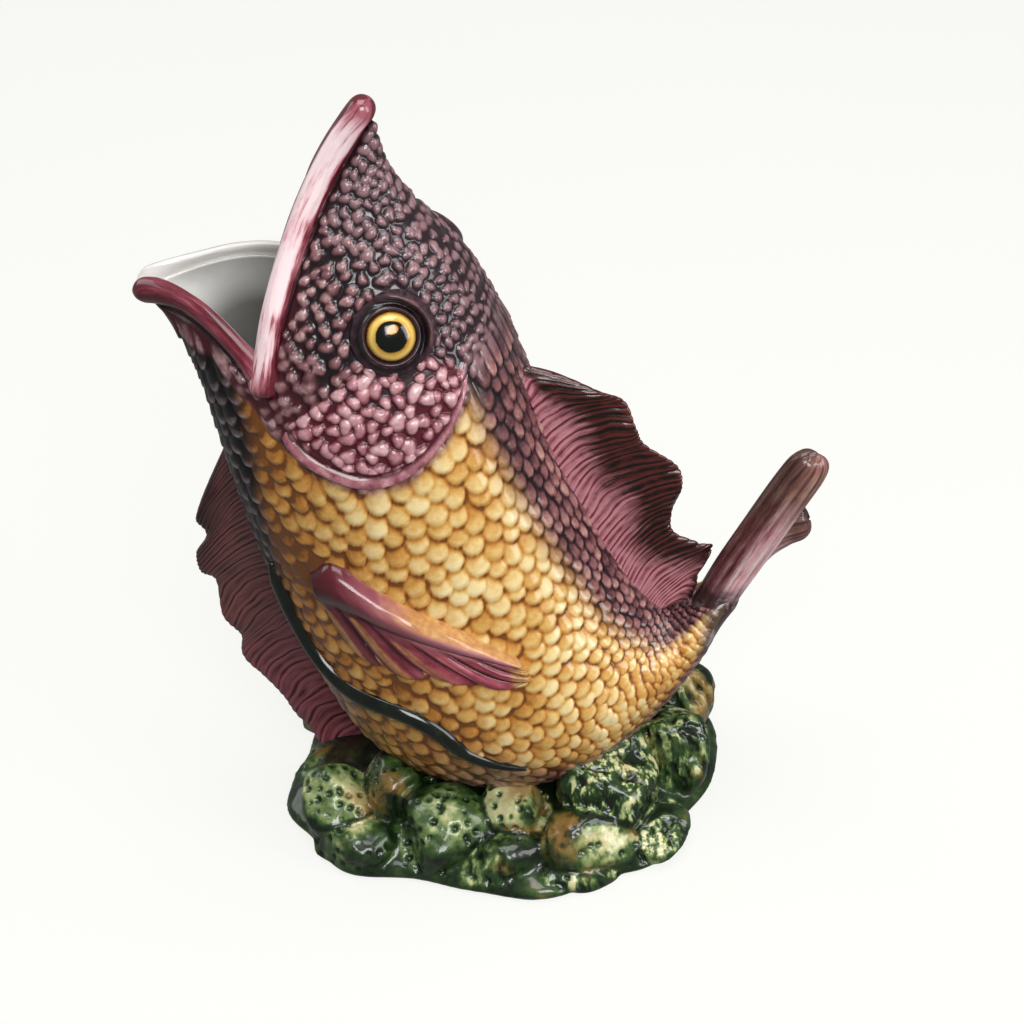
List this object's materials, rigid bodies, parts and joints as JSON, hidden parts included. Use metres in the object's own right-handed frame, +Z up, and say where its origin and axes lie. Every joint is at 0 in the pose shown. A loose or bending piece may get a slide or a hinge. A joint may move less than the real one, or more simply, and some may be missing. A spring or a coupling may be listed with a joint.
{
  "type": "fish pitcher",
  "caption": "Glazed earthenware jug shaped as a leaping fish with an open mouth as spout, on a rock base",
  "frame": {"origin": "under the middle of the jug's box, on the surface that it stands on", "axes": "+Z up, the spout toward -X and the tail toward +X, the side shown faces -Y"},
  "size_m": [0.2262, 0.145, 0.2695],
  "materials": {
    "scale_glaze": "gloss glaze, cream and ochre scales shading to mauve on the back",
    "lip_glaze": "gloss glaze, pink and wine red in streaks",
    "head_glaze": "gloss glaze, dark aubergine",
    "eye_glaze": "gloss glaze, golden iris with a black pupil",
    "gill_glaze": "gloss glaze, pink nodules on wine red",
    "fin_glaze": "gloss glaze, deep maroon to mauve over fine ridges",
    "weed_glaze": "gloss glaze, black green",
    "tail_glaze": "gloss glaze, pink and brown in strokes",
    "rock_glaze": "gloss glaze, dark green pooled between pale pitted stones"
  },
  "bodies": {
    "root": {"body_shell": "scale_glaze", "upper_lip": "lip_glaze", "lower_lip": "lip_glaze", "eyelid_right": "head_glaze", "eyelid_left": "head_glaze", "eye_right": "eye_glaze", "eye_left": "eye_glaze", "gill_cover_right": "gill_glaze", "gill_cover_left": "gill_glaze", "pectoral_fin_right": "fin_glaze", "pectoral_fin_left": "fin_glaze", "weed_strand_right": "weed_glaze", "weed_strand_left": "weed_glaze", "dorsal_fin": "fin_glaze", "belly_fin": "fin_glaze", "tail_upper_lobe": "tail_glaze", "tail_lower_lobe": "tail_glaze", "rock_base": "rock_glaze"}
  },
  "joints": []
}
